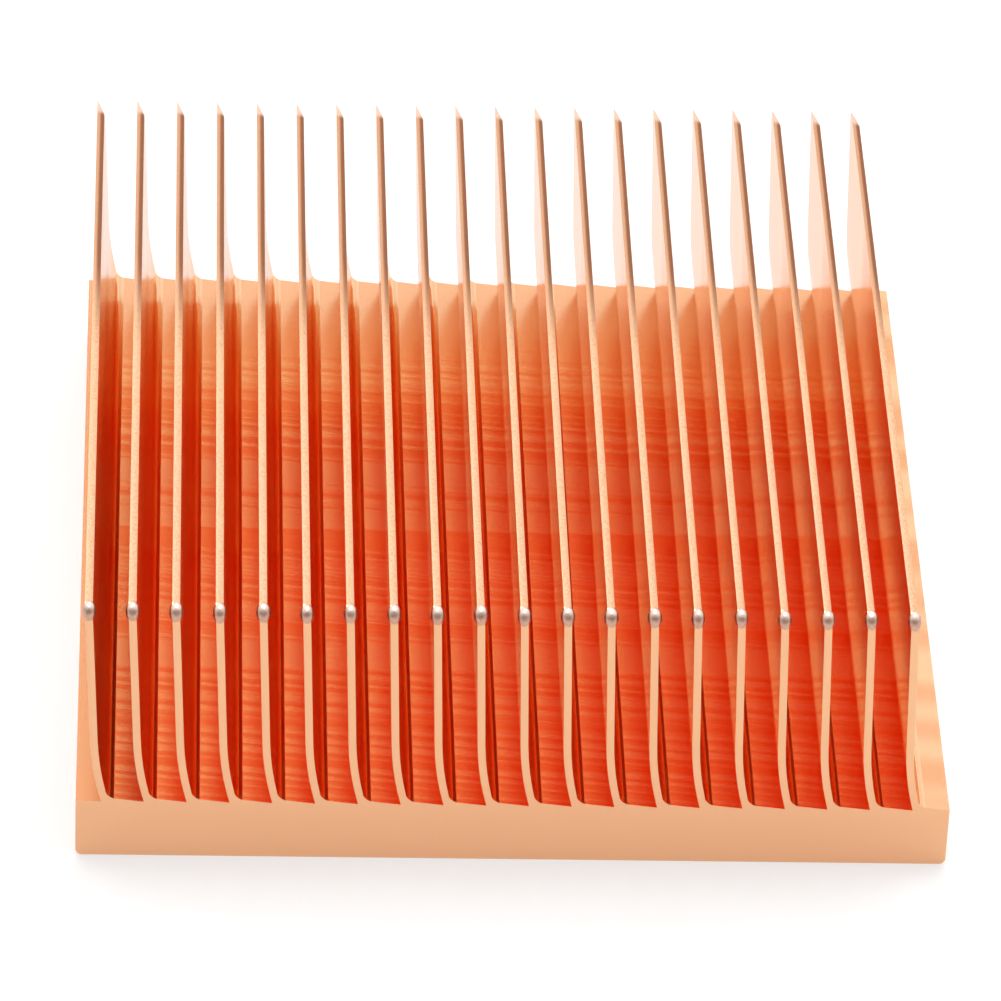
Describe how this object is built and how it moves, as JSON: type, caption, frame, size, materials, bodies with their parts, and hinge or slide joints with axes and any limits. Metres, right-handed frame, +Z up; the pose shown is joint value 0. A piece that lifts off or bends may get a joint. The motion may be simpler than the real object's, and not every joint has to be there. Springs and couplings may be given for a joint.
{
  "type": "skived fin heat sink",
  "caption": "Copper heat sink: a flat base block with a row of thin straight fins shaved up out of it, each with a small rounded bead on its front top corner.",
  "frame": {"origin": "centre of the flat underside", "axes": "+X across the fins, to the right when seen from the beaded front; +Y along the fins, from the beaded front to the plain rear; +Z up from the underside to the fin tips"},
  "size_m": [0.04, 0.042, 0.014],
  "materials": {
    "copper": "bare copper, satin on the cut ends and brighter on the knife-cut fin sides, valley floors and beads"
  },
  "bodies": {
    "root": {"heat_sink": "copper"}
  },
  "joints": []
}
